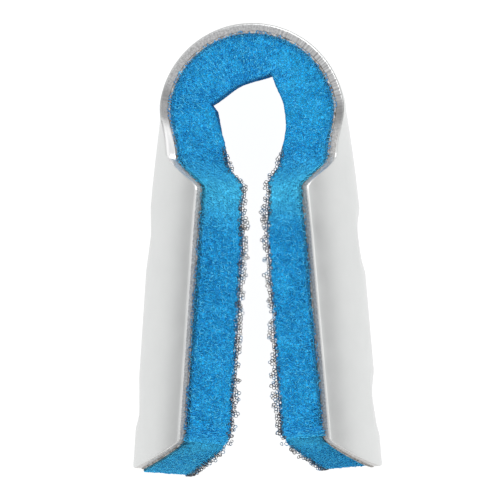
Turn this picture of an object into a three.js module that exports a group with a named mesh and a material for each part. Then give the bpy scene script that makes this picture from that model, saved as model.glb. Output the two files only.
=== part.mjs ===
// Fold-over padded finger splint, lying on its side.
// One aluminium blank is folded over the fingertip: a narrow bridge makes the round loop, and each
// of the two wide legs curls inward round the finger as a gutter. A thin adhesive film holds one
// continuous foam pad to the inside.
// Millimetres. +Y runs from the open end to the loop, +X to the right leg, +Z up from the surface
// that it lies on. The origin is under the middle of the object.

import * as THREE from 'three';

// Sheet of aluminium, measured flat
const SHEET_THICKNESS = 1.05;
const BRIDGE_WIDTH = 16;
const LEG_WIDTH = 28.2;
const SHOULDER_LENGTH = 3.9;
const LEG_END_RADIUS = 25.8;
const LEG_END_CORNER = 0.3;

// Folded form
const LOOP_OUTER_RADIUS = 11.5;
const GUTTER_OUTER_RADIUS = 15.5;
const CURL_LENGTH = 7.4;
const SHOULDER_START = 6.4;
const FLARE_LENGTH = 16.6;
const LEFT_LEG_LENGTH = 45.7;
const RIGHT_LEG_LENGTH = 45.7;
const LEGS = [
  {
    sign: -1,
    length: LEFT_LEG_LENGTH,
    neckSplay: 8.8,
    endSplay: 3.8,
    overhang: 0.35,
    neckPad: 4.55,
    endPad: 4.65,
    neckBulge: 1.1,
  },
  {
    sign: 1,
    length: RIGHT_LEG_LENGTH,
    neckSplay: 9.9,
    endSplay: 5,
    overhang: -0.25,
    neckPad: 3.95,
    endPad: 5.1,
    neckBulge: 1.3,
  },
];

// Shallow dents on the back of each leg, deepest near the end away from the loop. Their ends are
// shares of the leg's length.
const DENTS = [
  { from: 0.315, deepest: 0.42, to: 0.433 },
  { from: 0.75, deepest: 0.857, to: 0.87 },
];
const DENT_WIDTH = 8;
const DENT_SIDE = 1;
const DENT_DEPTH = 0.3;

// Film and foam
const CLEARANCE = 0.15;
const FILM_THICKNESS = 0.3;
const FOAM_THICKNESS = 5.6;
const FOAM_EDGE_ROUND = 0.35;
const FOAM_SIDE_POINTS = 2;

// The pad is squeezed inside the loop: it folds into creases and swells between them. Angles go
// round the loop from its top, negative on the left.
const FOLDS = [
  { angle: -73, depth: 1.35, reach: 13 },
  { angle: 25, depth: 1.75, reach: 15 },
];
const SWELLS = [
  { angle: -100, height: 0.9, reach: 15 },
  { angle: 112, height: 0.5, reach: 13 },
];

// It also bulges at its sides where the sheet is bent and widens, past the end of the loop
const NECK_BULGE_PLACE = 7.1;
const NECK_BULGE_REACH = 2.2;

// Fineness of the meshes
const LOOP_STEP = 1.1;
const CURL_STEPS = 7;
const SHOULDER_STEPS = 6;
const LEG_STEP = 4.2;
const ACROSS_STEPS = 8;
const TINY = 1e-6;

const ALUMINIUM_COLOUR = 0xdcdddd;
const FILM_COLOUR = 0xb9b4aa;
const FOAM_COLOUR = 0x2090d0;

const degrees = (angle) => (angle * Math.PI) / 180;

const clamp01 = (value) => Math.min(Math.max(value, 0), 1);

const ease = (value) => {
  const t = clamp01(value);
  return t * t * (3 - 2 * t);
};

// Arc length on one side of the loop, from its top to where the leg starts
const loopLength = (leg) => LOOP_OUTER_RADIUS * degrees(90 - leg.neckSplay);

// Point and heading after a circular arc of the given length and turn
function walkArc(start, length, turn) {
  if (Math.abs(turn) < TINY) {
    return {
      x: start.x + length * Math.cos(start.heading),
      y: start.y - length * Math.sin(start.heading),
      heading: start.heading,
    };
  }
  const radius = length / turn;
  const heading = start.heading + turn;
  return {
    x: start.x + radius * (Math.sin(heading) - Math.sin(start.heading)),
    y: start.y + radius * (Math.cos(heading) - Math.cos(start.heading)),
    heading,
  };
}

// Outer line of the fold on one side, at a distance from the top of the loop: round the loop, along
// the slight flare of the neck, then straight. The heading is the slope below the horizontal.
function spineAt(leg, distance) {
  const stretches = [
    { length: loopLength(leg), turn: degrees(90 - leg.neckSplay) },
    { length: FLARE_LENGTH, turn: degrees(leg.neckSplay - leg.endSplay) },
    { length: Infinity, turn: 0 },
  ];
  let at = { x: 0, y: 0, heading: 0 };
  let left = distance;
  for (const { length, turn } of stretches) {
    const step = Math.min(left, length);
    at = walkArc(at, step, turn ? (turn * step) / length : 0);
    left -= step;
    if (left <= 0) break;
  }
  return at;
}

// Curvature across the sheet: none round the loop, the full gutter on the leg
function curlAt(leg, distance) {
  return ease((distance - loopLength(leg)) / CURL_LENGTH) / GUTTER_OUTER_RADIUS;
}

function halfWidthAt(leg, distance) {
  const share = ease((distance - loopLength(leg) - SHOULDER_START) / SHOULDER_LENGTH);
  return (BRIDGE_WIDTH + (LEG_WIDTH - BRIDGE_WIDTH) * share) / 2;
}

// How far the rounded end of a leg falls back from its tip, at a distance across the flat sheet
function endDrop(across) {
  const reach = Math.abs(across);
  const arc = LEG_END_RADIUS - Math.sqrt(LEG_END_RADIUS ** 2 - reach ** 2);
  const corner = Math.max(LEG_END_CORNER - (LEG_WIDTH / 2 - reach), 0);
  return arc + LEG_END_CORNER - Math.sqrt(LEG_END_CORNER ** 2 - corner ** 2);
}

function dentAt(leg, distance, across) {
  const share = (distance - loopLength(leg)) / leg.length;
  const dent = DENTS.find(({ from, to }) => share > from && share < to);
  if (!dent) return 0;
  const slope = (share - dent.from) / (dent.deepest - dent.from);
  const step = (dent.to - share) / (dent.to - dent.deepest);
  const inside = (DENT_WIDTH / 2 - Math.abs(across)) / DENT_SIDE;
  return DENT_DEPTH * Math.min(slope, step) * ease(inside);
}

// Section of the curled sheet at a depth below its outer face: inward from the outer line, and
// across from the middle
function curled(curl, across, depth) {
  if (curl < TINY) return { inward: depth, side: across };
  const angle = curl * across;
  const radius = 1 / curl - depth;
  return { inward: 1 / curl - radius * Math.cos(angle), side: radius * Math.sin(angle) };
}

function place(leg, distance, inward, side) {
  const at = spineAt(leg, distance);
  return new THREE.Vector3(
    leg.sign * (at.x - inward * Math.sin(at.heading)),
    at.y - inward * Math.cos(at.heading),
    side,
  );
}

// Distances from the top of the loop of the rows of one side. Each stretch has its own steps, and a
// row lies on each end and the deepest line of every dent, and on every fold of the pad.
function rowDistances(leg) {
  const loop = loopLength(leg);
  const shoulder = loop + SHOULDER_START;
  const folds = FOLDS.filter(({ angle }) => Math.sign(angle) === leg.sign);
  const loopEnds = [...folds.map(({ angle }) => LOOP_OUTER_RADIUS * degrees(Math.abs(angle))), loop];
  const stretches = [
    ...loopEnds.map((to, i) => ({ to, steps: Math.ceil((to - (loopEnds[i - 1] ?? 0)) / LOOP_STEP) })),
    { to: shoulder, steps: CURL_STEPS },
    { to: shoulder + SHOULDER_LENGTH, steps: SHOULDER_STEPS },
  ];
  let from = shoulder + SHOULDER_LENGTH;
  const ends = DENTS.flatMap((dent) => [dent.from, dent.deepest, dent.to]);
  for (const share of [...ends, 1]) {
    const to = loop + share * leg.length;
    stretches.push({ to, steps: Math.max(Math.ceil((to - from) / LEG_STEP), 1) });
    from = to;
  }
  const distances = [0];
  for (const { to, steps } of stretches) {
    const start = distances.at(-1);
    for (let i = 1; i <= steps; i += 1) distances.push(start + ((to - start) * i) / steps);
  }
  return distances;
}

// Rows of the whole piece, from the end of the left leg over the loop to the end of the right one
function allRows() {
  const [left, right] = LEGS.map((leg) => rowDistances(leg).map((distance) => ({ leg, distance })));
  return [...left.slice(1).reverse(), ...right];
}

// Closed skin round rows of rings. Every ring has its outer line first, then one side, its inner
// line back, and the other side.
function skin(rings, lineLength, sideLength) {
  const size = rings[0].length;
  const positions = rings.flat().flatMap((point) => point.toArray());
  const index = [];
  const quad = (a, b, c, d) => index.push(a, b, c, a, c, d);
  for (let row = 0; row + 1 < rings.length; row += 1) {
    for (let i = 0; i < size; i += 1) {
      const next = (i + 1) % size;
      quad(row * size + i, row * size + next, (row + 1) * size + next, (row + 1) * size + i);
    }
  }
  const cap = (start, flip) => {
    const face = (a, b, c) => index.push(start + a, start + (flip ? c : b), start + (flip ? b : c));
    const opposite = (i) => 2 * lineLength + sideLength - 1 - i;
    for (let i = 0; i + 1 < lineLength; i += 1) {
      face(i, opposite(i), opposite(i + 1));
      face(i, opposite(i + 1), i + 1);
    }
    const fan = (corner, first, count) => {
      for (let i = 0; i < count; i += 1) face(corner, (first + i + 1) % size, (first + i) % size);
    };
    fan(lineLength - 1, lineLength, sideLength);
    fan(0, opposite(0), sideLength);
  };
  cap(0, false);
  cap((rings.length - 1) * size, true);
  const geometry = new THREE.BufferGeometry();
  geometry.setAttribute('position', new THREE.Float32BufferAttribute(positions, 3));
  geometry.setIndex(index);
  return geometry;
}

// Where the rounded end pulls a row back: nothing up to the last dent, the full drop at the end
function rowPull(leg, distance) {
  const lastDent = DENTS.at(-1).to * leg.length;
  return clamp01((distance - loopLength(leg) - lastDent) / (leg.length - lastDent));
}

function sheetLayer(outerDepth, thickness, dented) {
  const rings = allRows().map(({ leg, distance }) => {
    const half = halfWidthAt(leg, distance);
    const pull = rowPull(leg, distance);
    const line = (depth, dents) => {
      const points = [];
      for (let i = 0; i <= ACROSS_STEPS; i += 1) {
        const across = half * ((2 * i) / ACROSS_STEPS - 1);
        const along = distance - pull * endDrop(across);
        const dent = dents ? dentAt(leg, along, across) : 0;
        const { inward, side } = curled(curlAt(leg, along), across, depth + dent);
        points.push(place(leg, along, inward, side));
      }
      return points;
    };
    return [...line(outerDepth, dented), ...line(outerDepth + thickness, false).reverse()];
  });
  return skin(rings, ACROSS_STEPS + 1, 0);
}

// Thickness of the pad at its sides: even round the loop, the leg's own squeeze further down, and
// the bulge at the neck
function padEdgeAt(leg, distance) {
  const past = distance - loopLength(leg);
  const squeezed = leg.neckPad + (leg.endPad - leg.neckPad) * clamp01(past / leg.length);
  const bulge = leg.neckBulge * Math.exp(-(((past - NECK_BULGE_PLACE) / NECK_BULGE_REACH) ** 2));
  return FOAM_THICKNESS + (squeezed - FOAM_THICKNESS) * ease(past / CURL_LENGTH) + bulge;
}

// How far the pad's inner face stands in from its plain thickness at a place round the loop
function foldedAt(leg, distance) {
  const angle = (leg.sign * distance * 180) / (Math.PI * LOOP_OUTER_RADIUS);
  let inward = 0;
  for (const fold of FOLDS) inward -= fold.depth * Math.exp(-Math.abs(angle - fold.angle) / fold.reach);
  for (const swell of SWELLS) inward += swell.height * Math.exp(-(((angle - swell.angle) / swell.reach) ** 2));
  return inward;
}

// The pad follows the sheet on its outer face. Its inner face is the same curve moved straight
// inward, and its sides bulge flat to the level of the sheet's edges.
function foamPad(outerDepth) {
  const rings = allRows().map(({ leg, distance }) => {
    const half = halfWidthAt(leg, distance);
    const pull = rowPull(leg, distance);
    const overhang = pull * leg.overhang;
    const padEdge = padEdgeAt(leg, distance);
    const outer = [];
    const inner = [];
    let along = distance;
    let flank = 0;
    let edge = { inward: 0, side: 0 };
    for (let i = 0; i <= ACROSS_STEPS; i += 1) {
      const across = half * ((2 * i) / ACROSS_STEPS - 1);
      along = distance - pull * endDrop(across) + overhang;
      const curl = curlAt(leg, along);
      flank = curled(curl, half, 0).side;
      edge = curled(curl, half, outerDepth);
      const { inward, side } = curled(curl, across, outerDepth);
      const innerSide = (side * (flank - FOAM_EDGE_ROUND)) / edge.side;
      const plain = FOAM_THICKNESS - (FOAM_THICKNESS - padEdge) * (across / half) ** 2;
      const thickness = plain + foldedAt(leg, along);
      outer.push(place(leg, along, inward, side));
      inner.push(place(leg, along, inward + thickness, innerSide));
    }
    const side = (sign) => [
      place(leg, along, edge.inward + FOAM_EDGE_ROUND, sign * flank),
      place(leg, along, edge.inward + padEdge + foldedAt(leg, along) - FOAM_EDGE_ROUND, sign * flank),
    ];
    return [...outer, ...side(1), ...inner.reverse(), ...side(-1).reverse()];
  });
  return skin(rings, ACROSS_STEPS + 1, FOAM_SIDE_POINTS);
}

function piece(name, geometry, colour, roughness, metalness) {
  const material = new THREE.MeshStandardMaterial({ color: colour, roughness, metalness });
  const mesh = new THREE.Mesh(geometry, material);
  mesh.name = name;
  return mesh;
}

const filmDepth = SHEET_THICKNESS + CLEARANCE;
const foamDepth = filmDepth + FILM_THICKNESS + CLEARANCE;

const splint = new THREE.Group();
splint.add(piece('aluminium_shell', sheetLayer(0, SHEET_THICKNESS, true), ALUMINIUM_COLOUR, 0.35, 1));
splint.add(piece('adhesive_film', sheetLayer(filmDepth, FILM_THICKNESS, false), FILM_COLOUR, 0.6, 0));
splint.add(piece('foam_pad', foamPad(foamDepth), FOAM_COLOUR, 0.95, 0));

const box = new THREE.Box3().setFromObject(splint);
const centre = box.getCenter(new THREE.Vector3());
splint.position.set(-centre.x, -centre.y, -box.min.z);

export default splint;
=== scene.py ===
import math
from itertools import chain

import bpy
import numpy as np
from mathutils import Matrix, Vector


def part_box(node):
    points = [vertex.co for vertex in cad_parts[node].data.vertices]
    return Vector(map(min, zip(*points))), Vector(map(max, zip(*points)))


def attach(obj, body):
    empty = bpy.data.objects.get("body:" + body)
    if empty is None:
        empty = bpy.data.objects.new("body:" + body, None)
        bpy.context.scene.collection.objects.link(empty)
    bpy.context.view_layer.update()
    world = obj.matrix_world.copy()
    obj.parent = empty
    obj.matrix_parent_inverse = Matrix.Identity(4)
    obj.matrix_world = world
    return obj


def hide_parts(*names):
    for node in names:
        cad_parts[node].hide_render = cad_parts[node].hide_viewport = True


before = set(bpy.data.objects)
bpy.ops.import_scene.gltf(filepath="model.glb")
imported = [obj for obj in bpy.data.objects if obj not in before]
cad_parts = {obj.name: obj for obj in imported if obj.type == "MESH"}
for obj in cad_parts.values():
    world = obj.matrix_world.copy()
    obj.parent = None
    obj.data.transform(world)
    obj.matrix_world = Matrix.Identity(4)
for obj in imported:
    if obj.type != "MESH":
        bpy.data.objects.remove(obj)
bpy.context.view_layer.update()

MM = 0.001

# Least height above the table, and the curls that count as flat
FLOOR_GAP = 0.01
TINY_CURL = 1e-6
FLAT_CURL = 1e-5

# Sheet of aluminium, as in the frame
SHEET_THICKNESS = 1.05
BRIDGE_WIDTH = 16.0
LEG_WIDTH = 28.2
SHOULDER_LENGTH = 3.9
LEG_END_RADIUS = 25.8
LEG_END_CORNER = 0.3
LOOP_OUTER_RADIUS = 11.5
GUTTER_OUTER_RADIUS = 15.5
CURL_LENGTH = 7.4
SHOULDER_START = 6.4
FLARE_LENGTH = 16.6
LEFT = {
    "length": 45.7,
    "neck_splay": 8.8,
    "end_splay": 3.8,
    "overhang": 0.35,
    "neck_pad": 5.3,
    "end_pad": 5.4,
}
RIGHT = {
    "length": 45.7,
    "neck_splay": 9.9,
    "end_splay": 5.0,
    "overhang": -0.25,
    "neck_pad": 4.3,
    "end_pad": 5.05,
}

# Pressed dents on the back of each leg: shares of the leg's length and depths there
LEFT_DENTS = (
    (0.285, 0.0), (0.363, 0.30), (0.46, 0.0),
    (0.75, 0.0), (0.853, 0.33), (0.894, 0.0),
)
RIGHT_DENTS = (
    (0.296, 0.0), (0.335, 0.42), (0.36, 0.52), (0.41, 0.42), (0.435, 0.34), (0.47, 0.0),
    (0.74, 0.0), (0.78, 0.35), (0.81, 0.48), (0.845, 0.38), (0.885, 0.25), (0.915, 0.0),
)
DENT_WIDTH = 8.0
DENT_SIDE = 1.4

# Share of the leg past which its rows take the shape of the rounded end
PULL_FROM = 0.87

# Rolled and sheared edge of the sheet. Cross lines, a leaned stretch painted near white as a highlight,
# and dark smudges lie on the loop's near edge, at places along the sheet.
EDGE_ROLL = 0.26
EDGE_BREAK = 0.07
ROUGH_FROM = 1.5
TICKS = {"along": 10.5, "reach": 6.0}
EDGE_GLINT = {"along": -21.2, "reach": 2.6, "lean": 0.45}
SMUDGES = (
    {"along": -15.4, "reach": 1.3, "strength": 0.55},
    {"along": -18.0, "reach": 1.2, "strength": 0.35},
    {"along": 17.6, "reach": 1.7, "strength": 0.65},
)

# Film and pad. The pad's near edge leans into the hollow and its far edge stands back. Its side is
# a rise from the film, a flat stretch and a round inner edge, in shares of the side.
FILM_THICKNESS = 0.26
FILM_RAGGED = 0.14
PAD_DEPTH = SHEET_THICKNESS + FILM_THICKNESS
PAD_THICKNESS = 5.85
PAD_EDGE_ROUND = 0.4
PAD_RISE = 0.5
RISE_SHARE = 0.12
FLAT_SHARE = 0.68
ROUND_SHARE = 0.2
EDGE_PROUD = 0.15
EDGE_LEAN = 0.6

# Lighter foam below each shoulder, a painted highlight where the pad turns towards the light, and
# lighter foam at the cut ends
NECK_HIGHLIGHT = {"past": 10.5, "reach": 3.2}
END_LIGHTENING = {"most": 0.45, "from": 0.9, "over": 0.1}

# The pad's skin: pits of the cells, wider hollows, slow swells by height, size and salt, and bites
# in the inner rim past the neck
CELL = 0.46
CELL_DEPTH = 0.16
CELL_RIM = 0.55
WIDE_CELL = 1.9 * CELL
WIDE_DEPTH = 0.05
WIDE_RIM = 0.6
WIDE_SHIFT = 31.7
SWELLS = ((0.10, 4.5, 11), (0.05, 1.6, 12))
FILM_SIDE_REACH = 2.6
RIM = {"from": 11.0, "over": 0.5, "level": 0.8, "level_over": 0.15}
BITE = {"cell": 0.42, "core": 0.75, "flat": 0.4, "shift": 17.3, "depth": 0.544, "past": 5.0, "over": 4.0}

# Folds in the pad where it is squeezed inside the loop: angle from the top of the loop
FOLDS = (
    {"angle": -73.0, "depth": 1.35, "reach": 13.0},
    {"angle": 25.0, "depth": 1.75, "reach": 15.0},
)
BULGES = (
    {"angle": -100.0, "height": 0.95, "reach": 15.0},
    {"angle": 112.0, "height": 0.5, "reach": 13.0},
)
FOLD_BULGE = 0.25
FOLD_WOBBLE = {"degrees": 2.5, "rate": 2.2, "phase": 0.6}
FOLD_FADE = {"before": 1.0, "over": 5.0}
SOFT_ROLL = {"angle": -97.0, "reach": 16.0, "round": 1.0}

# How much thicker the pad's edge is where the sheet is bent and widens at the shoulder, by the
# distance past the loop
LEFT_NECK = (
    (0.0, 0.0), (2.4, -0.2), (4.8, -0.2), (7.2, 0.5), (8.6, 0.45), (10.0, -0.4),
    (12.2, -0.5), (14.2, -0.3), (17.2, 0.0),
    (42.3, 0.0), (45.7, -0.5),
)
RIGHT_NECK = (
    (0.0, 0.0), (2.0, 0.2), (4.0, 0.4), (5.6, 0.7), (7.7, 0.95), (9.0, 0.25), (10.0, -0.8),
    (12.4, -0.4), (16.0, 0.0),
    (42.3, 0.0), (45.7, -0.5),
)


def side_value(signed, name):
    """A leg's own value, at places left (negative) or right (positive) of the loop's top."""
    return np.where(signed < 0, LEFT[name], RIGHT[name])


def side_table(signed, place, left, right):
    """Value at a place in the table of the side that each point is on."""
    return np.where(signed < 0, np.interp(place, *zip(*left)), np.interp(place, *zip(*right)))


def ease(value):
    """Smooth step from 0 to 1."""
    t = np.clip(value, 0.0, 1.0)
    return t * t * (3.0 - 2.0 * t)


def bell(value, centre, reach, power=2):
    return np.exp(-(((value - centre) / reach) ** power))


def loop_length(signed):
    """Length of the loop's arc on one side, from its top."""
    return LOOP_OUTER_RADIUS * np.radians(90.0 - side_value(signed, "neck_splay"))


def past_loop(signed):
    """Distance past the end of the loop's arc, negative on the loop."""
    return np.abs(signed) - loop_length(signed)


def leg_share(signed):
    return np.clip(past_loop(signed) / side_value(signed, "length"), 0.0, 1.0)


def curl_at(signed):
    return ease(past_loop(signed) / CURL_LENGTH) / GUTTER_OUTER_RADIUS


def half_width_at(signed):
    share = ease((past_loop(signed) - SHOULDER_START) / SHOULDER_LENGTH)
    return (BRIDGE_WIDTH + (LEG_WIDTH - BRIDGE_WIDTH) * share) / 2.0


def end_drop(across):
    """How far the rounded end of a leg falls short at each place across it."""
    reach = np.abs(across)
    arc = LEG_END_RADIUS - np.sqrt(LEG_END_RADIUS**2 - reach**2)
    corner = np.maximum(reach - (LEG_WIDTH / 2.0 - LEG_END_CORNER), 0.0)
    return arc + LEG_END_CORNER - np.sqrt(np.maximum(LEG_END_CORNER**2 - corner**2, 0.0))


def pull_at(signed):
    """Share from 0 to 1 by which a row takes the shape of the rounded end."""
    return np.clip((leg_share(signed) - PULL_FROM) / (1.0 - PULL_FROM), 0.0, 1.0)


def drawn_back(signed, across, overhang=0.0):
    """The place along the sheet of a point in a row, with the rounded end of the leg."""
    pull = pull_at(signed)
    reach = np.abs(signed) - pull * end_drop(across) + pull * overhang
    return np.where(signed < 0, -reach, reach)


def spine_at(signed):
    """Point and heading of the fold's outer line."""
    distance = np.abs(signed)
    loop = loop_length(signed)
    bend = np.radians(side_value(signed, "neck_splay") - side_value(signed, "end_splay"))
    heading = np.minimum(distance, loop) / LOOP_OUTER_RADIUS
    x = LOOP_OUTER_RADIUS * np.sin(heading)
    y = LOOP_OUTER_RADIUS * (np.cos(heading) - 1.0)
    flare_radius = FLARE_LENGTH / bend
    flare = heading + np.clip(distance - loop, 0.0, FLARE_LENGTH) / flare_radius
    x = x + flare_radius * (np.sin(flare) - np.sin(heading))
    y = y + flare_radius * (np.cos(flare) - np.cos(heading))
    straight = np.maximum(distance - loop - FLARE_LENGTH, 0.0)
    x = x + straight * np.cos(flare)
    y = y - straight * np.sin(flare)
    return np.where(signed < 0, -x, x), y, flare


def curled(curl, across, depth):
    """Section of the curled sheet: inward from the outer line, and sideways from its middle."""
    safe = np.maximum(curl, TINY_CURL)
    radius = 1.0 / safe - depth
    inward = 1.0 / safe - radius * np.cos(safe * across)
    side = radius * np.sin(safe * across)
    flat = curl < FLAT_CURL
    return np.where(flat, depth, inward), np.where(flat, across, side)


def lean_at(signed, heading):
    """Sideways part of the direction into the hollow."""
    return np.where(signed < 0, -np.sin(heading), np.sin(heading))


def placed(signed, inward, side):
    """Points in the splint's own coordinates."""
    x, y, heading = spine_at(signed)
    lean = lean_at(signed, heading)
    return np.stack([x - inward * lean, y - inward * np.cos(heading), side + 0.0 * x], axis=-1)


def dent_at(signed, across):
    share = past_loop(signed) / side_value(signed, "length")
    depth = side_table(signed, share, LEFT_DENTS, RIGHT_DENTS)
    return depth * ease((DENT_WIDTH / 2.0 - np.abs(across)) / DENT_SIDE)


# Where the splint's own coordinates lie in the frame
shell_low, shell_high = (np.array(corner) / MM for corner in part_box("aluminium_shell"))
sides = np.array([-1.0, 1.0])
LEFT_END, RIGHT_END = sides * (loop_length(sides) + side_value(sides, "length"))
end_x = placed(np.array([LEFT_END, RIGHT_END]), 0.0, 0.0)[:, 0]
ORIGIN = np.array([
    (shell_low[0] + shell_high[0] - end_x[0] - end_x[1]) / 2.0,
    shell_high[1],
    (shell_low[2] + shell_high[2]) / 2.0,
])


def hashed(cells, salt):
    """Repeatable number from 0 to 1 for each row of whole numbers."""
    bits = (cells[..., 0] * 73856093) ^ (cells[..., 1] * 19349663) ^ (cells[..., 2] * 83492791)
    bits = (bits ^ (salt * 668265263)) & 0xFFFFFFFF
    bits = ((bits ^ (bits >> 15)) * 2246822519) & 0xFFFFFFFF
    bits = ((bits ^ (bits >> 13)) * 3266489917) & 0xFFFFFFFF
    return (bits ^ (bits >> 16)) / 4294967296.0


def cells_at(points, size):
    """Distances to the nearest and the second nearest cell centre, in cells, and the nearest's hue."""
    scaled = points / size
    base = np.floor(scaled).astype(np.int64)
    first = np.full(len(points), np.inf)
    second = np.full(len(points), np.inf)
    hue = np.zeros(len(points))
    for offset in np.ndindex(3, 3, 3):
        cell = base + np.array(offset) - 1
        jitter = np.stack([hashed(cell, salt) for salt in (1, 2, 3)], axis=-1)
        gap = np.linalg.norm(cell + jitter - scaled, axis=-1)
        nearer = gap < first
        second = np.where(nearer, first, np.minimum(second, gap))
        hue = np.where(nearer, hashed(cell, 4), hue)
        first = np.where(nearer, gap, first)
    return first, second, hue


def drift_at(points, size, salt):
    """Smooth noise from -1 to 1."""
    scaled = points / size
    base = np.floor(scaled).astype(np.int64)
    share = ease(scaled - base)
    total = np.zeros(len(points))
    for offset in np.ndindex(2, 2, 2):
        corner = np.array(offset)
        weight = np.prod(np.where(corner, share, 1.0 - share), axis=-1)
        total += weight * hashed(base + corner, salt)
    return 2.0 * total - 1.0


def drift_along(along, size, salt):
    """The same noise by the place along the sheet alone."""
    return drift_at(np.stack([along, 0.0 * along, 0.0 * along], axis=-1), size, salt)


def unit(vectors):
    return vectors / np.linalg.norm(vectors, axis=1, keepdims=True)


def mesh_piece(name, points, faces, attributes=None):
    """Blender object from points in the splint's own millimetres and lists of faces."""
    mesh = bpy.data.meshes.new(name)
    sizes = np.array([len(face) for face in faces])
    loops = np.fromiter(chain.from_iterable(faces), dtype=np.int32)
    mesh.vertices.add(len(points))
    corners = points + ORIGIN
    corners[:, 2] = np.maximum(corners[:, 2], FLOOR_GAP)
    mesh.vertices.foreach_set("co", (corners * MM).ravel())
    mesh.loops.add(len(loops))
    mesh.loops.foreach_set("vertex_index", loops)
    mesh.polygons.add(len(faces))
    starts = np.concatenate([[0], np.cumsum(sizes)[:-1]])
    mesh.polygons.foreach_set("loop_start", starts.astype(np.int32))
    mesh.update(calc_edges=True)
    mesh.validate()
    mesh.shade_smooth()
    for key, values in (attributes or {}).items():
        layer = mesh.attributes.new(key, "FLOAT", "POINT")
        layer.data.foreach_set("value", np.asarray(values, dtype=np.float32))
    piece = bpy.data.objects.new(name, mesh)
    bpy.context.scene.collection.objects.link(piece)
    return piece


def normals_of(points, faces):
    """Vertex normals of quads, weighted by area."""
    quads = np.asarray([face[:4] for face in faces])
    corner = points[quads]
    face_normal = np.cross(corner[:, 2] - corner[:, 0], corner[:, 3] - corner[:, 1])
    total = np.zeros_like(points)
    for i in range(4):
        np.add.at(total, quads[:, i], face_normal)
    return total / np.maximum(np.linalg.norm(total, axis=1, keepdims=True), 1e-12)


def ring_faces(rows, size):
    """Quads of a tube of closed rings, each of size points."""
    row = np.arange(rows - 1)[:, None] * size
    i = np.arange(size)[None, :]
    after = (i + 1) % size
    quads = np.stack([row + i, row + after, row + size + after, row + size + i], axis=-1)
    return quads.reshape(-1, 4)


def tuples(faces):
    return [tuple(face) for face in faces]


# Rows along the sheet
ROW_GAP = 0.02


def rows_between(leg_step, loop_step, end_steps=()):
    """Signed places of the rows, from the left end to the right end, with extra rows at both ends."""
    sides = []
    for sign, end in ((-1.0, LEFT_END), (1.0, RIGHT_END)):
        reach = abs(end)
        loop = float(loop_length(np.array(sign)))
        loop_rows = np.linspace(0.0, loop, round(loop / loop_step) + 1)
        leg_rows = np.linspace(loop, reach, round((reach - loop) / leg_step) + 1)[1:]
        rows = np.concatenate([loop_rows, leg_rows])
        if len(end_steps):
            extra = reach - np.array(end_steps)
            rows = np.unique(np.concatenate([rows[rows < extra.min() - ROW_GAP], extra, [reach]]))
        sides.append(sign * rows)
    return np.concatenate([sides[0][::-1][:-1], sides[1]])


# The aluminium sheet with rolled and sheared edges
SHELL_STEP = 0.42
SHELL_COLUMNS = 40
ROLL_STEPS = 5
WALL_STEPS = 4
EDGE_FADE = 0.05
SMUDGE_FADE = 0.3


def end_gap_at(rows):
    """Distance of each row from its end of the sheet."""
    return np.where(rows < 0, rows - LEFT_END, RIGHT_END - rows)[:, None]


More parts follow.
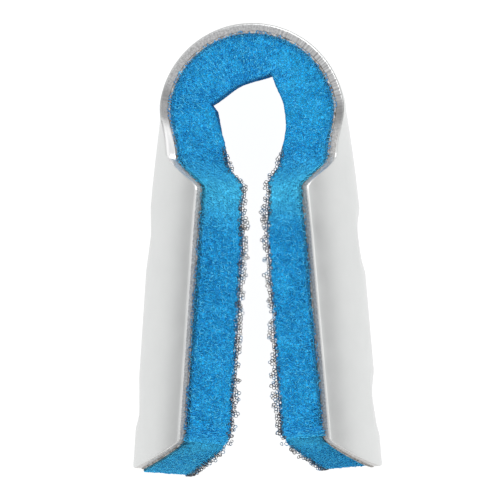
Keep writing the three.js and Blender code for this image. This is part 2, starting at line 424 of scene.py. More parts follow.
def build_shell():
    roll = EDGE_ROLL * (1.0 - np.cos(np.radians(np.linspace(0.0, 90.0, ROLL_STEPS + 1))))
    rows = rows_between(SHELL_STEP, SHELL_STEP, tuple(roll[1:]))
    middle = np.linspace(-1.0, 1.0, SHELL_COLUMNS + 1)
    half = half_width_at(rows)
    lean = EDGE_GLINT["lean"] * bell(rows, EDGE_GLINT["along"], EDGE_GLINT["reach"], 4)

    def face_lines(edge_steps, radius, drop=0.0):
        """One face of the sheet: columns across, with extra ones down the rounded edge."""
        cross = np.concatenate([
            -(half[:, None] - edge_steps[None, :]),
            (half - radius)[:, None] * middle[None, 1:-1],
            (half - lean * drop)[:, None] - edge_steps[None, ::-1],
        ], axis=1)
        along = drawn_back(rows[:, None], cross)
        edge_gap = half[:, None] - np.abs(cross)
        gap = np.clip(np.minimum(edge_gap, end_gap_at(rows)), 0.0, radius)
        rounded = radius - np.sqrt(np.maximum(radius**2 - (radius - gap) ** 2, 0.0))
        return cross, along, rounded

    cross, along, rounded = face_lines(roll, EDGE_ROLL, SHEET_THICKNESS)
    depth = rounded + dent_at(along, cross)
    break_steps = EDGE_BREAK * (1.0 - np.cos(np.radians(np.array([0.0, 45.0, 90.0]))))
    inner_cross, inner_along, inner_rounded = face_lines(break_steps, EDGE_BREAK)
    inner_depth = SHEET_THICKNESS - inner_rounded
    wall = np.linspace(EDGE_ROLL, SHEET_THICKNESS - EDGE_BREAK, WALL_STEPS + 1)[1:-1]

    def wall_lines(sign):
        leaned = max(sign, 0.0) * lean[:, None] * (SHEET_THICKNESS - wall[None, :])
        cross = sign * half[:, None] - leaned
        along = drawn_back(rows[:, None], cross)
        return cross, along, wall[None, :] + 0.0 * cross

    outer = cross, along, depth
    inner = inner_cross[:, ::-1], inner_along[:, ::-1], inner_depth[:, ::-1]
    left_wall = [part[:, ::-1] for part in wall_lines(-1.0)]
    ring_cross, ring_along, ring_depth = (
        np.concatenate(four, axis=1) for four in zip(outer, wall_lines(1.0), inner, left_wall)
    )
    inward, side = curled(curl_at(ring_along), ring_cross, ring_depth)
    points = placed(ring_along, inward, side).reshape(-1, 3)

    # Both ends: pair the outer line with the inner line, and close the walls with fans
    size = ring_cross.shape[1]
    outer_count = cross.shape[1]
    inner_count = inner_cross.shape[1]
    inner_start = outer_count + len(wall)
    inner_index = inner_start + inner_count - 1 - np.arange(inner_count)
    end_faces = []
    o, i = 0, 0
    while o < outer_count - 1 or i < inner_count - 1:
        step_outer = o < outer_count - 1 and (
            i == inner_count - 1 or o / (outer_count - 1) <= i / (inner_count - 1)
        )
        pair = o, inner_index[i]
        if step_outer:
            o += 1
        else:
            i += 1
        end_faces.append((*pair, o if step_outer else inner_index[i]))
    fan = range(outer_count - 1, inner_start + 1)
    end_faces += [(fan[0], fan[k + 1], fan[k]) for k in range(1, len(fan) - 1)]
    fan = [0, *range(size - 1, size - 2 - len(wall), -1)]
    end_faces += [(fan[0], fan[k], fan[k + 1]) for k in range(1, len(fan) - 1)]
    end_faces = np.array(end_faces)
    last = (len(rows) - 1) * size
    faces = tuples(ring_faces(len(rows), size)) + tuples(end_faces) + tuples(end_faces[:, ::-1] + last)

    leaned = np.where(ring_cross > 0, lean[:, None] * (SHEET_THICKNESS - ring_depth), 0.0)
    edge_gap = half[:, None] - np.abs(ring_cross) - leaned
    near_edge = np.minimum(edge_gap, end_gap_at(rows))
    edge_face = ease(1.0 - near_edge / EDGE_FADE)
    ticks = 0.25 + 0.75 * bell(ring_along, TICKS["along"], TICKS["reach"])
    # Mask of the leaned edge stretch that is painted near white: a painted highlight
    glint = bell(ring_along, EDGE_GLINT["along"], EDGE_GLINT["reach"], 4)
    smudge = sum(spot["strength"] * bell(ring_along, spot["along"], spot["reach"]) for spot in SMUDGES)
    attributes = {
        "edge": edge_face.ravel(),
        "along": ring_along.ravel(),
        "on_leg": ease((past_loop(ring_along) - ROUGH_FROM) / SHOULDER_LENGTH).ravel(),
        "glint": (glint * edge_face * (ring_cross > 0)).ravel(),
        "ticks": (ticks * edge_face).ravel(),
        "smudge": (smudge * ease(1.0 - near_edge / SMUDGE_FADE)).ravel(),
    }
    return mesh_piece("splint_sheet", points, faces, attributes)


# A pad-like layer: rings of an outer line, a side, an inner line and the other side, with fine caps
def layer_faces(rows, outer_count, side_count, inner_count, cap_start):
    """Faces of the rings and of both end caps. A cap has inner_count by side_count fine points."""
    size = outer_count + side_count + inner_count + side_count
    faces = tuples(ring_faces(rows, size))
    ratio = (inner_count - 1) // (outer_count - 1)

    def cap(row, start, flip):
        ring = row * size

        def at(column, level):
            """Level 0 is the outer line, and side_count + 1 the inner line."""
            if level == side_count + 1:
                return ring + outer_count + side_count + (inner_count - 1 - column)
            if column == inner_count - 1:
                return ring + outer_count + level - 1
            if column == 0:
                return ring + size - level
            return start + (level - 1) * (inner_count - 2) + column - 1

        made = []
        for level in range(1, side_count + 1):
            for column in range(inner_count - 1):
                made.append((
                    at(column, level), at(column, level + 1),
                    at(column + 1, level + 1), at(column + 1, level),
                ))
        for coarse in range(outer_count - 1):
            fine = [at(coarse * ratio + k, 1) for k in range(ratio + 1)]
            made.append((ring + coarse, *fine, ring + coarse + 1))
        return [face[::-1] if flip else face for face in made]

    count = side_count * (inner_count - 2)
    return faces + cap(0, cap_start, False) + cap(rows - 1, cap_start + count, True)


PAD_LEG_STEP = 0.17
PAD_LOOP_STEP = 0.25
PAD_COLUMNS = 48
PAD_COARSE = 12
PAD_LEVELS = 36
CAP_POWER = 6


def fold_at(signed, share_across):
    """How far the folds draw the pad's inner face back, and the bulge between them."""
    wobble = FOLD_WOBBLE["degrees"] * np.sin(FOLD_WOBBLE["rate"] * share_across + FOLD_WOBBLE["phase"])
    angle = np.degrees(signed / LOOP_OUTER_RADIUS) + wobble
    in_loop = 1.0 - ease((past_loop(signed) + FOLD_FADE["before"]) / FOLD_FADE["over"])
    drawn = FOLD_BULGE * in_loop
    for fold in FOLDS:
        drawn = drawn - fold["depth"] * np.exp(-np.abs(angle - fold["angle"]) / fold["reach"])
    for bulge in BULGES:
        drawn = drawn + bulge["height"] * bell(angle, bulge["angle"], bulge["reach"])
    return drawn


def pad_edge_at(signed):
    """Thickness of the pad's edge, which is squeezed past the loop."""
    neck = side_value(signed, "neck_pad")
    squeezed = neck + (side_value(signed, "end_pad") - neck) * leg_share(signed)
    past = past_loop(signed)
    extra = side_table(signed, past, LEFT_NECK, RIGHT_NECK)
    return PAD_THICKNESS + (squeezed + EDGE_PROUD - PAD_THICKNESS) * ease(past / CURL_LENGTH) + extra


def round_at(signed):
    """Rounding of the pad's inner edges, softer where the pad is squeezed beside the first fold."""
    angle = np.degrees(signed / LOOP_OUTER_RADIUS)
    return PAD_EDGE_ROUND + SOFT_ROLL["round"] * bell(angle, SOFT_ROLL["angle"], SOFT_ROLL["reach"])


def pad_section(rows, share_across):
    """Where a line along the pad lies: its place along the sheet, the level of the pad's sides at
    the sheet and at the film, its start at the film and its thickness. share_across runs from -1,
    the far side, to 1, the near one."""
    half = half_width_at(rows)
    across = half * share_across
    along = drawn_back(rows, across, side_value(rows, "overhang"))
    curl = curl_at(along)
    flank = curled(curl, half, 0.0 * curl)[1]
    edge_side = curled(curl, half, PAD_DEPTH + 0.0 * curl)[1]
    inward, side = curled(curl, across, PAD_DEPTH + 0.0 * curl)
    edge = pad_edge_at(rows) + EDGE_LEAN * (share_across - 1.0)
    thickness = PAD_THICKNESS + (edge - PAD_THICKNESS) * share_across**2 + fold_at(along, share_across)
    return along, flank, edge_side, inward, side, thickness


def inner_side_at(rows, flank, edge_side, side):
    """Level of the pad's inner face, inside the round edges."""
    return side * (flank - round_at(rows)) / edge_side


def pad_flank(rows, face, share, lift=0.0, back=0.0):
    """The pad's side: a short rise from the film, a flat stretch and a round inner edge."""
    along, flank, edge_side, inward, _, thickness = pad_section(rows, face + 0.0 * rows)
    corner = round_at(rows)
    up = np.clip(share / RISE_SHARE, 0.0, 1.0)
    flat = np.clip((share - RISE_SHARE) / FLAT_SHARE, 0.0, 1.0)
    angle = np.radians(90.0) * np.clip((share - (1.0 - ROUND_SHARE)) / ROUND_SHARE, 0.0, 1.0)
    depth = PAD_RISE * up + (thickness - PAD_RISE - corner) * flat + corner * np.sin(angle)
    height = edge_side + (flank - edge_side) * ease(up) - corner * (1.0 - np.cos(angle)) + lift
    return placed(along, inward + depth - back, face * height)


def lightening_at(signed):
    """Where the foam is lighter: below each shoulder, as a painted highlight, and at the cut ends."""
    neck = bell(past_loop(signed), NECK_HIGHLIGHT["past"], NECK_HIGHLIGHT["reach"])
    end = ease((leg_share(signed) - END_LIGHTENING["from"]) / END_LIGHTENING["over"])
    return neck + END_LIGHTENING["most"] * end


def build_pad():
    rows = rows_between(PAD_LEG_STEP, PAD_LOOP_STEP)
    inner_share = np.linspace(-1.0, 1.0, PAD_COLUMNS + 1)
    coarse_share = np.linspace(-1.0, 1.0, PAD_COARSE + 1)
    levels = np.linspace(0.0, 1.0, PAD_LEVELS + 1)[1:-1]

    def line(share, inner):
        grid = rows[:, None] + 0.0 * share[None, :]
        along, flank, edge_side, inward, side, thickness = pad_section(grid, share[None, :] + 0.0 * grid)
        if not inner:
            return placed(along, inward, side)
        return placed(along, inward + thickness, inner_side_at(grid, flank, edge_side, side))

    grid = rows[:, None] + 0.0 * levels[None, :]
    near = pad_flank(grid, 1.0, levels[None, :])
    far = pad_flank(grid, -1.0, levels[None, :])[:, ::-1]
    inner = line(inner_share, True)[:, ::-1]
    ring = np.concatenate([line(coarse_share, False), near, inner, far], axis=1)

    # Fine points of both end caps, between the outer and the inner line
    caps = []
    for row in (rows[0], rows[-1]):
        at = row + 0.0 * inner_share
        along, flank, edge_side, inward, side, thickness = pad_section(at, inner_share)
        rim = pad_flank(at[None, :], 1.0, levels[:, None])
        start = placed(along, inward, side)
        finish = placed(along, inward + thickness, inner_side_at(at, flank, edge_side, side))
        cap = start[None] + (finish - start)[None] * levels[:, None, None]
        weight = np.abs(inner_share) ** CAP_POWER
        bulge = (np.abs(rim[..., 2]) - np.abs(edge_side)) * np.sign(inner_share) * weight
        bulged = cap[..., 2] * (1 - weight) + (side + bulge) * weight
        cap[..., 2] = np.where(np.abs(inner_share) > 0.5, bulged, cap[..., 2])
        caps.append(cap[:, 1:-1].reshape(-1, 3))
    size = ring.shape[1]
    points = np.concatenate([ring.reshape(-1, 3)] + caps)
    cap_start = len(rows) * size
    faces = layer_faces(len(rows), PAD_COARSE + 1, PAD_LEVELS - 1, PAD_COLUMNS + 1, cap_start)

    # Each point's level, from 0 at the film to 1 at the inner face, its place along the sheet, and
    # whether it is off the face that the film hides
    film_line, inner_line = np.zeros(PAD_COARSE + 1), np.ones(PAD_COLUMNS + 1)
    ring_levels = np.concatenate([film_line, levels, inner_line, levels[::-1]])
    cap_levels = np.repeat(levels, PAD_COLUMNS - 1)
    level = np.concatenate([np.tile(ring_levels, len(rows)), cap_levels, cap_levels])
    cap_rows = np.repeat([LEFT_END, RIGHT_END], len(cap_levels))
    place = np.concatenate([np.repeat(rows, size), cap_rows])
    off_film = np.tile(np.arange(size) > PAD_COARSE, len(rows))
    shown = np.concatenate([off_film, np.ones(len(cap_rows))])

    normal = normals_of(points, faces)
    first, second, hue = cells_at(points, CELL)
    wide_first, wide_second, _ = cells_at(points + WIDE_SHIFT, WIDE_CELL)
    pit = np.clip((second - first) / CELL_RIM, 0.0, 1.0) * (0.45 + 0.55 * hue)
    wide = np.clip((wide_second - wide_first) / WIDE_RIM, 0.0, 1.0)
    film_side = ease(1.0 - level * PAD_THICKNESS / FILM_SIDE_REACH)
    depth = CELL_DEPTH * pit * (0.75 + 0.6 * film_side) + WIDE_DEPTH * wide
    swell = sum(height * drift_at(points, reach, salt) for height, reach, salt in SWELLS)
    points = points + normal * ((swell - depth) * shown)[:, None]

    in_rim = ease((np.abs(points[:, 2]) - RIM["from"]) / RIM["over"])
    in_rim = in_rim * ease((level - RIM["level"]) / RIM["level_over"])
    in_rim = in_rim * ease((past_loop(place) - BITE["past"]) / BITE["over"])
    near_centre = cells_at(points * np.array([1.0, 1.0, BITE["flat"]]) + BITE["shift"], BITE["cell"])[0]
    bite = np.clip(1.0 - near_centre / BITE["core"], 0.0, 1.0)
    heading = spine_at(place)[2]
    back = np.stack([lean_at(place, heading), np.cos(heading), 0.0 * heading], axis=-1)
    points = points + back * (BITE["depth"] * bite * in_rim * shown)[:, None]
    attributes = {"film_side": film_side, "lightening": lightening_at(place)}
    return mesh_piece("foam_pad_cells", points, faces, attributes)


# Struts of the cut cells: a honeycomb net, pushed about at random
STRUT_CELL = 0.40
STRUT_RADIUS = 0.036
STRUT_LENGTHS = (0.05, 1.2)
STRUT_THICKNESS = {"least": 0.75, "spread": 0.7}
NET_STAGGER = 0.17
NET_JITTER = 0.085
NET_DRIFT = {"reach": 0.30, "size": 1.1}
NET_LIFT = (0.01, 0.05)
LEAST_SHARE = 0.02
FILM_EDGE = {"reach": 0.6, "lift": 0.35, "pale": 0.35, "part": 0.6}
SLOT_SIDE = {"reach": 0.55, "over": 0.5, "past": 4.5, "past_over": 4.0, "pale": 0.3}
CAP_PALE = {"from": 0.92, "over": 0.06}


def honeycomb(low, high, depth, cell):
    """Nodes and struts of a honeycomb over a strip from low to high and from 0 to depth."""
    side = cell / math.sqrt(3.0)
    columns = int((high - low) / (side * math.sqrt(0.75)))
    rows = max(int(depth / (1.5 * side)), 2)
    i, j = np.meshgrid(np.arange(columns), np.arange(rows), indexing="ij")
    odd = (i + j) % 2
    x = low + (high - low) * i / (columns - 1)
    y = depth * (j + np.where(odd, NET_STAGGER, -NET_STAGGER)) / (rows - 1)
    number = i * rows + j
    beside = np.stack([number[:-1], number[1:]], axis=-1).reshape(-1, 2)
    above = np.stack([number[:, :-1], number[:, 1:]], axis=-1)[odd[:, :-1] == 1]
    return np.stack([x, y], axis=-1).reshape(-1, 2), np.concatenate([beside, above])


def struts(name, nodes, pairs, pale, thick, seed, lightening=None):
    """Thin three-sided struts between nodes. pale runs from 0, blue foam, to 1, bleached ends."""
    rng = np.random.default_rng(seed)
    nodes[:, 2] = np.maximum(nodes[:, 2], 2.0 * thick - ORIGIN[2])
    start, finish = nodes[pairs[:, 0]], nodes[pairs[:, 1]]
    length = np.linalg.norm(finish - start, axis=1)
    keep = (length > STRUT_LENGTHS[0]) & (length < STRUT_LENGTHS[1])
    pairs, start, finish = pairs[keep], start[keep], finish[keep]
    axis = (finish - start) / length[keep][:, None]
    helper = np.where(np.abs(axis[:, 2:3]) > 0.8, [[1.0, 0.0, 0.0]], [[0.0, 0.0, 1.0]])
    across = unit(np.cross(axis, helper))
    over = np.cross(axis, across)
    count = len(pairs)
    share = STRUT_THICKNESS["least"] + STRUT_THICKNESS["spread"] * rng.random(count)
    radius = thick * share[:, None]
    ring = []
    for base in (start, finish):
        for corner in range(3):
            turn = math.radians(120.0 * corner)
            ring.append(base + radius * (across * math.cos(turn) + over * math.sin(turn)))
    points = np.stack(ring, axis=1).reshape(-1, 3)
    base = 6 * np.arange(count)[:, None]
    turns = [np.array([k, (k + 1) % 3, 3 + (k + 1) % 3, 3 + k]) for k in range(3)]
    quads = np.concatenate([base + turn for turn in turns])
    caps = np.concatenate([base + np.array([2, 1, 0]), base + np.array([3, 4, 5])])
    faces = tuples(quads) + tuples(caps)
    shade = np.repeat(rng.random(count), 6)
    tone = np.repeat((pale[pairs[:, 0]] + pale[pairs[:, 1]]) / 2.0, 6)
    lightening = np.zeros(len(nodes)) if lightening is None else lightening
    return mesh_piece(name, points, faces, {
        "shade": shade, "pale": tone, "lightening": np.repeat(lightening[pairs[:, 0]], 6),
    })


def cap_points(end, q, level, out):
    """Points on the pad's cut end: q across it, level from the film to the inner face, out from it."""
    rows = end + 0.0 * q
    along, flank, edge_side, inward, side, thickness = pad_section(rows, q)
    inner = inner_side_at(rows, flank, edge_side, side)
    return placed(along + np.sign(end) * out, inward + thickness * level, side + (inner - side) * level)


def build_cells(name, face, seed):
    """The cut cells on one side of the pad, and on half of each of its cut ends."""
    rng = np.random.default_rng(seed)
    nodes, pairs = honeycomb(LEFT_END, RIGHT_END, PAD_THICKNESS, STRUT_CELL)
    nodes = nodes + rng.normal(0.0, NET_JITTER, nodes.shape)
    flat = np.concatenate([nodes, np.zeros((len(nodes), 1))], axis=1)
    nodes[:, 0] += NET_DRIFT["reach"] * drift_at(flat, NET_DRIFT["size"], 41)
    nodes[:, 1] += NET_DRIFT["reach"] * drift_at(flat, NET_DRIFT["size"], 42)
    rows = np.clip(nodes[:, 0], LEFT_END, RIGHT_END)
    share = np.clip(nodes[:, 1] / PAD_THICKNESS, LEAST_SHARE, 1.0)
    lift = rng.normal(*NET_LIFT, len(nodes)) + 0.05 * drift_at(flat, 1.6, 43)
    film_side = ease(1.0 - nodes[:, 1] / FILM_EDGE["reach"])
    back = film_side * rng.uniform(-0.1, 0.45, len(nodes))
    points = pad_flank(rows, face, share, lift + FILM_EDGE["lift"] * film_side, back)
    slot_side = ease((nodes[:, 1] - PAD_THICKNESS + SLOT_SIDE["reach"]) / SLOT_SIDE["over"])
    slot_side = slot_side * ease((past_loop(rows) - SLOT_SIDE["past"]) / SLOT_SIDE["past_over"])
    film_pale = FILM_EDGE["pale"] * film_side * (rng.random(len(nodes)) < FILM_EDGE["part"])
    pale = np.clip(film_pale + SLOT_SIDE["pale"] * slot_side, 0.0, 1.0)
    lightening = lightening_at(rows)
    for end in (LEFT_END, RIGHT_END):
        flat, more = honeycomb(0.0, LEG_WIDTH / 2.0, PAD_THICKNESS, STRUT_CELL)
        flat = flat + rng.normal(0.0, NET_JITTER, flat.shape)
        q = face * np.clip(2.0 * flat[:, 0] / LEG_WIDTH, 0.0, 1.0)
        level = np.clip(flat[:, 1] / PAD_THICKNESS, LEAST_SHARE, 1.0)
        cap = cap_points(end, q, level, rng.normal(*NET_LIFT, len(flat)))
        pairs = np.concatenate([pairs, more + len(points)])
        points = np.concatenate([points, cap])
        cap_pale = ease((level - CAP_PALE["from"]) / CAP_PALE["over"])
        pale = np.concatenate([pale, SLOT_SIDE["pale"] * cap_pale])
        lightening = np.concatenate([lightening, END_LIGHTENING["most"] + 0.0 * level])
    return struts(name, points, pairs, pale, STRUT_RADIUS, seed + 100, lightening)


# Lace of open cells that stands out from the pad's inner edges, past the neck
LACE_PITCH = 0.37
LACE_STEP = 0.31
LACE_REACH = 0.66
LACE_JITTER = 0.32
LACE_END_SPREAD = 2.0
LACE_FAR_SHARE = 0.35
LACE_RADIUS = 0.05
RING_SIZES = (0.15, 0.21)
RING_POINTS = 7
RING_TILT = 0.18
RING_UNEVEN = 0.14
RING_STRETCH = (0.85, 1.3)
LACE_START = {"past": 4.6, "over": 4.5}
LACE_THINNED = 0.75
LACE_PALE = (0.92, 0.2)


def lace_limit(along, salt):
    """How far the lace stands out at each place."""
    fine, slow = drift_along(along, 0.6, salt), drift_along(along, 2.3, salt + 1)
    return LACE_REACH * (0.75 + 0.6 * fine + 0.35 * slow)


def build_lace(name, sign, end, seed):
    """Open cells that stand out from both inner edges of one leg's pad, and round its end."""
    rng = np.random.default_rng(seed)
    start = float(loop_length(np.array(sign))) + LACE_START["past"]
    centres, outwards = [], []

    def spots(low, high, salt, pitch=LACE_PITCH):
        """Jittered places along an edge and out from it, as far as the lace reaches there."""
        count = int((high - low) / pitch)
        steps = int(1.6 * LACE_REACH / LACE_STEP) + 2
        i, j = np.meshgrid(np.arange(count), np.arange(steps), indexing="ij")
        along = low + pitch * (i + 0.5 * (j % 2) + rng.uniform(-LACE_JITTER, LACE_JITTER, i.shape))
        out = LACE_STEP * (j - 0.7 + rng.uniform(-LACE_JITTER, LACE_JITTER, i.shape))
        along, out = along.ravel(), out.ravel()
        return along, out, out < lace_limit(along, salt)

    for face, share in ((1.0, 1.0), (-1.0, LACE_FAR_SHARE)):
        along, out, keep = spots(start, abs(end), seed + int(face))
        grow = ease((along - start) / LACE_START["over"])
        keep = keep & (out < LACE_REACH * 2.0 * grow * share) & (along < abs(end))
        keep = keep & (rng.random(len(along)) > LACE_THINNED * (pull_at(sign * along) > 0.0))
        along, out = along[keep], out[keep]
        rows = sign * along
        rim = pad_flank(rows, face, np.ones(len(rows)))
        outward = rim - pad_flank(rows, face, np.full(len(rows), 0.6))
        outward[:, 2] = 0.0
        outward = unit(outward)
        points = rim + outward * out[:, None]
        drop = 0.05 + rng.normal(0.0, 0.1, len(rows)) + 0.3 * np.maximum(out, 0.0)
        points[:, 2] += face * (round_at(rows) - drop)
        centres.append(points)
        outwards.append(outward)

    # Round the cut end of the pad, in towards its inner face
    width = LEG_WIDTH / 2.0
    across, out, keep = spots(-width, width, seed + 50, LACE_PITCH * LACE_END_SPREAD)
    keep = keep & (np.abs(across) < width)
    across, out = across[keep], out[keep]
    q = across / width
    depth = PAD_THICKNESS + out - 0.05
    points = cap_points(end, q, depth / PAD_THICKNESS, 0.03 + rng.normal(0.0, 0.05, len(q)))
    centres.append(points)
    outwards.append(cap_points(end, q, depth / PAD_THICKNESS + 0.2, 0.03) - points)

    centre = np.concatenate(centres)
    outward = np.concatenate(outwards)
    count = len(centre)
    normal = unit(np.array([0.0, 0.0, 1.0]) + rng.normal(0.0, RING_TILT, (count, 3)))
    first = unit(outward - normal * np.sum(outward * normal, axis=1, keepdims=True))
    second = np.cross(normal, first)
    size = rng.uniform(*RING_SIZES, (count, 1))
    turn = np.radians(360.0 / RING_POINTS * np.arange(RING_POINTS))[None, :]
    turn = turn + rng.uniform(0.0, 1.0, (count, 1))
    reach = size * (1.0 + rng.normal(0.0, RING_UNEVEN, (count, RING_POINTS)))
    ahead = reach * np.cos(turn) * rng.uniform(*RING_STRETCH, (count, 1))
    ring = centre[:, None, :] + first[:, None, :] * ahead[..., None]
    ring = ring + second[:, None, :] * (reach * np.sin(turn))[..., None]
    nodes = ring.reshape(-1, 3)
    base = RING_POINTS * np.arange(count)[:, None]
    point = np.arange(RING_POINTS)[None, :]
    pairs = np.stack([base + point, base + (point + 1) % RING_POINTS], axis=-1).reshape(-1, 2)
    pale = np.repeat(np.clip(LACE_PALE[0] + rng.normal(0.0, LACE_PALE[1], count), 0.0, 1.0), RING_POINTS)
    return struts(name, nodes, pairs, pale, LACE_RADIUS, seed + 200)


# The film: levels are below the sheet's outer face, and its ends stand out by the overhang
FILM_STEP = 0.3
FILM_COLUMNS = 24
FILM_LEVELS = (SHEET_THICKNESS + 0.012, PAD_DEPTH + 0.03)
FILM_OVERHANG = 0.1
FILM_POWER = 12


def build_film():
    """The thin film between sheet and pad, with a slightly ragged edge."""
    rows = rows_between(FILM_STEP, FILM_STEP)
    q = np.linspace(-1.0, 1.0, FILM_COLUMNS + 1)[None, :]

    def ragged(salt):
        fine, slow = drift_along(rows, 0.55, salt), drift_along(rows, 1.7, salt + 1)
        return FILM_RAGGED * (0.15 + 0.6 * fine + 0.5 * slow)[:, None]

    extra = np.where(q > 0, ragged(21), ragged(23)) * np.abs(q) ** FILM_POWER
    cross = np.sign(q) * (half_width_at(rows)[:, None] * np.abs(q) + extra)
    along = drawn_back(rows[:, None], np.clip(cross, -LEG_WIDTH / 2.0, LEG_WIDTH / 2.0), FILM_OVERHANG)
    curl = curl_at(along)
    outer, inner = (placed(along, *curled(curl, cross, depth + 0.0 * cross)) for depth in FILM_LEVELS)
    ring = np.concatenate([outer, inner[:, ::-1]], axis=1)
    size = ring.shape[1]
    faces = tuples(ring_faces(len(rows), size))
    last = (len(rows) - 1) * size
    for k in range(FILM_COLUMNS):
        faces.append((k, size - 1 - k, size - 2 - k, k + 1))
        faces.append((last + k + 1, last + size - 2 - k, last + size - 1 - k, last + k))
    return mesh_piece("film_layer", ring.reshape(-1, 3), faces)


# Materials
def new_material(name):
    material = bpy.data.materials.new(name)
    material.use_nodes = True
    tree = material.node_tree
    return material, tree, tree.nodes["Principled BSDF"]


def set_inputs(node, values):
    for key, value in values.items():
        node.inputs[key].default_value = value


def texture(tree, where, kind, scale, **values):
    """Noise or cell texture with its inputs set."""
    node = tree.nodes.new("ShaderNodeTex" + kind)
    set_inputs(node, {"Scale": scale, **values})
    tree.links.new(where, node.inputs["Vector"])
    return node


def ramp(tree, value, stops):
    node = tree.nodes.new("ShaderNodeValToRGB")
    elements = node.color_ramp.elements
    while len(elements) < len(stops):
        elements.new(0.5)
    for element, (place, colour) in zip(elements, stops):
        element.position = place
        element.color = (*colour, 1.0)
    tree.links.new(value, node.inputs["Fac"])
    return node.outputs["Color"]


def mixed(tree, factor, first, second):
    node = tree.nodes.new("ShaderNodeMix")
    node.data_type = "RGBA"
    for index, value in ((0, factor), (6, first), (7, second)):
        socket = node.inputs[index]
        if isinstance(value, bpy.types.NodeSocket):
            tree.links.new(value, socket)
        elif isinstance(value, tuple):
            socket.default_value = (*value, 1.0)
        else:
            socket.default_value = value
    return node.outputs[2]


def maths(tree, operation, *values, clamp=False):
    node = tree.nodes.new("ShaderNodeMath")
    node.operation = operation
    node.use_clamp = clamp
    for socket, value in zip(node.inputs, values):
        if isinstance(value, bpy.types.NodeSocket):
            tree.links.new(value, socket)
        else:
            socket.default_value = value
    return node.outputs[0]


def object_place(tree):
    return tree.nodes.new("ShaderNodeTexCoord").outputs["Object"]


def attribute(tree, name):
    node = tree.nodes.new("ShaderNodeAttribute")
    node.attribute_name = name
    return node.outputs["Fac"]


def bumped(tree, shader, height, strength, distance):
    bump = tree.nodes.new("ShaderNodeBump")
    set_inputs(bump, {"Strength": strength, "Distance": distance})
    tree.links.new(height, bump.inputs["Height"])
    tree.links.new(bump.outputs["Normal"], shader.inputs["Normal"])


def aluminium():
    """Satin faces, a striped and smudged edge on the loop, and a dull sheared edge on the legs."""
    material, tree, shader = new_material("satin_aluminium")
    where = object_place(tree)
    edge = attribute(tree, "edge")
    on_leg = attribute(tree, "on_leg")
    ticks = attribute(tree, "ticks")
    glint = attribute(tree, "glint")
    cloud = texture(tree, where, "Noise", 260.0, Detail=3.0, Roughness=0.5).outputs["Fac"]
    grain = texture(tree, where, "Noise", 4200.0, Detail=4.0, Roughness=0.65).outputs["Fac"]
    fine = texture(tree, where, "Noise", 9000.0, Detail=2.0).outputs["Fac"]
    stripes = tree.nodes.new("ShaderNodeTexNoise")
    stripes.noise_dimensions = "1D"
    set_inputs(stripes, {"Scale": 3.6, "Detail": 2.0})
    tree.links.new(attribute(tree, "along"), stripes.inputs["W"])
    stripe = stripes.outputs["Fac"]

    mottle = mixed(tree, maths(tree, "MULTIPLY", ticks, 0.85), grain, stripe)
    face_colour = ramp(tree, cloud, [(0.3, (0.66, 0.67, 0.665)), (0.7, (0.70, 0.71, 0.705))])
    loop_edge = ramp(tree, mottle, [(0.34, (0.36, 0.36, 0.365)), (0.64, (0.72, 0.725, 0.725))])
    leg_edge = ramp(tree, grain, [
        (0.34, (0.30, 0.285, 0.27)), (0.5, (0.46, 0.445, 0.43)), (0.68, (0.66, 0.65, 0.635)),
    ])
    edge_colour = mixed(tree, on_leg, loop_edge, leg_edge)
    colour = mixed(tree, edge, face_colour, edge_colour)
    spots = maths(tree, "MULTIPLY", grain, 1.5)
    spots = maths(tree, "MULTIPLY", attribute(tree, "smudge"), spots, clamp=True)
    colour = mixed(tree, spots, colour, (0.09, 0.09, 0.09))
    # Painted highlight: the glint stretch of the edge is painted near white and stays metallic
    colour = mixed(tree, glint, colour, (0.97, 0.97, 0.97))
    tree.links.new(colour, shader.inputs["Base Color"])
    dull = maths(tree, "MULTIPLY", edge, on_leg)
    dull = maths(tree, "SUBTRACT", dull, glint, clamp=True)
    tree.links.new(maths(tree, "MULTIPLY_ADD", dull, -0.85, 1.0), shader.inputs["Metallic"])
    rough = maths(tree, "MULTIPLY_ADD", cloud, 0.12, 0.34)
    rough = maths(tree, "MULTIPLY_ADD", edge, -0.10, rough)
    tree.links.new(rough, shader.inputs["Roughness"])
    height = maths(tree, "MULTIPLY", fine, 0.08)
    height = maths(tree, "MULTIPLY_ADD", stripe, ticks, height)
    bumped(tree, shader, height, 0.4, 0.00012)
    return material


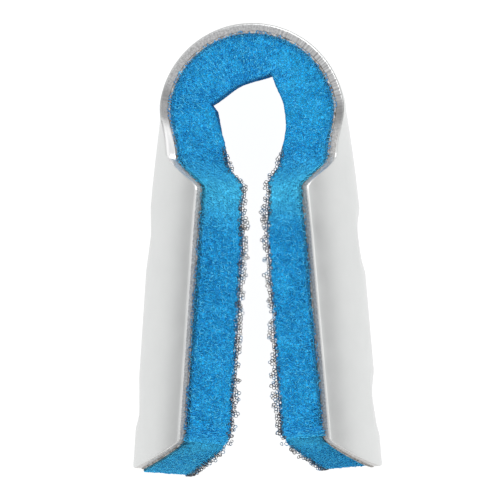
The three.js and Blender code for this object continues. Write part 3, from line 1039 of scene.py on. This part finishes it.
def foam():
    """Blue foam: cell walls painted lighter and cell hollows painted darker, as painted light and shade
    of the relief, the shade deeper by the film; paler below each shoulder as a painted highlight, and
    paler at the cut ends; teal by the film.
    """
    material, tree, shader = new_material("blue_open_cell_foam")
    where = object_place(tree)
    warp = texture(tree, where, "Noise", 1500.0, Detail=2.0)
    shifted = tree.nodes.new("ShaderNodeVectorMath")
    shifted.operation = "MULTIPLY_ADD"
    tree.links.new(warp.outputs["Color"], shifted.inputs[0])
    shifted.inputs[1].default_value = (0.00035, 0.00035, 0.00035)
    tree.links.new(where, shifted.inputs[2])
    walls = texture(tree, shifted.outputs[0], "Voronoi", 2900.0)
    walls.feature = "DISTANCE_TO_EDGE"
    each = texture(tree, shifted.outputs[0], "Voronoi", 2900.0)
    blotch = texture(tree, where, "Noise", 380.0, Detail=4.0, Roughness=0.65)
    # Painted light and shade of the foam's relief: cell walls painted lighter, cell hollows painted
    # darker
    wall = ramp(tree, walls.outputs["Distance"], [
        (0.0, (1.0, 1.0, 1.0)), (0.07, (0.6, 0.6, 0.6)), (0.22, (0.0, 0.0, 0.0)),
    ])
    base = ramp(tree, blotch.outputs["Fac"], [
        (0.30, (0.007, 0.31, 0.71)), (0.5, (0.012, 0.37, 0.80)), (0.72, (0.03, 0.46, 0.91)),
    ])

    film_side = attribute(tree, "film_side")
    depth = tree.nodes.new("ShaderNodeSeparateColor")
    tree.links.new(each.outputs["Color"], depth.inputs[0])
    open_cell = ramp(tree, depth.outputs[0], [(0.35, (0.0, 0.0, 0.0)), (0.95, (1.0, 1.0, 1.0))])
    hollow = maths(tree, "SUBTRACT", open_cell, wall, clamp=True)
    # Painted shade in the cell hollows, stronger by the film where the pad meets the sheet
    amount = maths(tree, "MULTIPLY_ADD", film_side, 0.45, 0.5)
    hollow = maths(tree, "MULTIPLY", hollow, amount, clamp=True)
    light = mixed(tree, maths(tree, "MULTIPLY", wall, 0.5), base, (0.09, 0.62, 1.0))
    # Painted highlight below each shoulder, and lighter foam at the cut ends
    lightening_share = maths(tree, "MULTIPLY", attribute(tree, "lightening"), 0.85)
    light = mixed(tree, lightening_share, light, (0.09, 0.64, 1.0))
    dark = mixed(tree, hollow, light, (0.001, 0.15, 0.43))
    teal = maths(tree, "MULTIPLY", maths(tree, "POWER", film_side, 12.0), 0.6)
    tree.links.new(mixed(tree, teal, dark, (0.10, 0.30, 0.36)), shader.inputs["Base Color"])
    set_inputs(shader, {"Roughness": 0.9, "Specular IOR Level": 0.06})
    bumped(tree, shader, maths(tree, "SUBTRACT", wall, hollow), 0.9, 0.0002)
    return material


def strand():
    """Struts of the cut cells, each with its own shade, blue or bleached."""
    material, tree, shader = new_material("cut_cell_struts")
    shade = attribute(tree, "shade")
    blue = ramp(tree, shade, [
        (0.0, (0.004, 0.19, 0.54)), (0.35, (0.011, 0.335, 0.78)),
        (0.75, (0.035, 0.50, 0.94)), (1.0, (0.14, 0.70, 1.0)),
    ])
    bleached = ramp(tree, shade, [
        (0.0, (0.03, 0.10, 0.15)), (0.15, (0.035, 0.03, 0.028)), (0.6, (0.085, 0.07, 0.062)),
        (0.85, (0.12, 0.095, 0.085)), (1.0, (0.42, 0.36, 0.32)),
    ])
    # Struts too are painted lighter below each shoulder as a painted highlight, and lighter at the cut
    # ends
    lightening_share = maths(tree, "MULTIPLY", attribute(tree, "lightening"), 0.6)
    lighter = mixed(tree, lightening_share, blue, (0.08, 0.74, 1.0))
    colour = mixed(tree, attribute(tree, "pale"), lighter, bleached)
    tree.links.new(colour, shader.inputs["Base Color"])
    set_inputs(shader, {"Roughness": 0.6, "Specular IOR Level": 0.2})
    return material


def film():
    material, tree, shader = new_material("adhesive_film_edge")
    where = object_place(tree)
    noise = texture(tree, where, "Noise", 2200.0, Detail=4.0, Roughness=0.7)
    colour = ramp(tree, noise.outputs["Fac"], [
        (0.36, (0.10, 0.095, 0.09)), (0.5, (0.34, 0.32, 0.30)), (0.66, (0.66, 0.63, 0.59)),
    ])
    tree.links.new(colour, shader.inputs["Base Color"])
    set_inputs(shader, {"Roughness": 0.7})
    return material


# Build and dress
sheet = build_shell()
sheet.data.materials.append(aluminium())
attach(sheet, "root")
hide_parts("aluminium_shell")

layer = build_film()
layer.data.materials.append(film())
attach(layer, "root")
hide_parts("adhesive_film")

pad = build_pad()
pad.data.materials.append(foam())
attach(pad, "root")
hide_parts("foam_pad")

strut_material = strand()
for net in (
    build_cells("foam_cells_near", 1.0, 11),
    build_cells("foam_cells_far", -1.0, 12),
    build_lace("foam_lace_left", -1.0, LEFT_END, 13),
    build_lace("foam_lace_right", 1.0, RIGHT_END, 14),
):
    net.data.materials.append(strut_material)
    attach(net, "root")

# Table, light and camera. The view's width, the camera's place and its aim are in millimetres.
TABLE_REACH = 3.0
KEY_LIGHT = {"place": (0.35, 0.55, 0.75), "aim": (0.0, 0.0, 0.01), "size": 0.6, "power": 4.6}
FRAME_WIDTH = 62.5
CAMERA_HEIGHT = 620.0
CAMERA_ASIDE = 20.7
AIM = (-0.96, 0.0)
SENSOR = 36.0


def build_stage():
    mesh = bpy.data.meshes.new("table")
    signs = ((-1, -1), (1, -1), (1, 1), (-1, 1))
    corners = [(x * TABLE_REACH, y * TABLE_REACH, 0) for x, y in signs]
    mesh.from_pydata(corners, [], [(0, 1, 2, 3)])
    table = bpy.data.objects.new("table", mesh)
    bpy.context.scene.collection.objects.link(table)
    material, _, shader = new_material("white_table")
    set_inputs(shader, {
        "Base Color": (0.12, 0.12, 0.12, 1.0), "Roughness": 0.9, "Specular IOR Level": 0.0,
        "Emission Color": (1.0, 1.0, 1.0, 1.0), "Emission Strength": 0.97,
    })
    mesh.materials.append(material)


def build_light():
    world = bpy.data.worlds.new("studio")
    bpy.context.scene.world = world
    world.use_nodes = True
    tree = world.node_tree
    where = tree.nodes.new("ShaderNodeTexCoord").outputs["Generated"]
    split = tree.nodes.new("ShaderNodeSeparateXYZ")
    tree.links.new(where, split.inputs[0])
    sky = ramp(tree, split.outputs["Z"], [
        (0.0, (0.34, 0.34, 0.345)), (0.24, (0.43, 0.43, 0.435)), (0.5, (1.1, 1.1, 1.1)),
        (0.8, (1.05, 1.05, 1.05)), (0.97, (0.70, 0.70, 0.705)),
    ])
    tree.links.new(sky, tree.nodes["Background"].inputs["Color"])
    set_inputs(tree.nodes["Background"], {"Strength": 1.0})
    data = bpy.data.lights.new("key", "AREA")
    data.size = KEY_LIGHT["size"]
    data.energy = KEY_LIGHT["power"]
    light = bpy.data.objects.new("key", data)
    light.location = KEY_LIGHT["place"]
    towards = Vector(KEY_LIGHT["aim"]) - Vector(KEY_LIGHT["place"])
    light.rotation_euler = towards.to_track_quat("-Z", "Y").to_euler()
    bpy.context.scene.collection.objects.link(light)


def build_camera():
    data = bpy.data.cameras.new("camera")
    camera = bpy.data.objects.new("camera", data)
    bpy.context.scene.collection.objects.link(camera)
    aim = Vector((AIM[0] * MM, AIM[1] * MM, ORIGIN[2] * MM))
    eye = aim + Vector((CAMERA_ASIDE * MM, 0.0, CAMERA_HEIGHT * MM))
    back = (eye - aim).normalized()
    right = Vector((0.0, 1.0, 0.0)).cross(back).normalized()
    camera.matrix_world = Matrix((right, back.cross(right), back)).transposed().to_4x4()
    camera.location = eye
    data.sensor_width = SENSOR
    data.lens = SENSOR * (eye - aim).length / (FRAME_WIDTH * MM)
    data.clip_end = 20.0
    bpy.context.scene.camera = camera


build_stage()
build_light()
build_camera()
bpy.context.scene.view_settings.view_transform = "Standard"
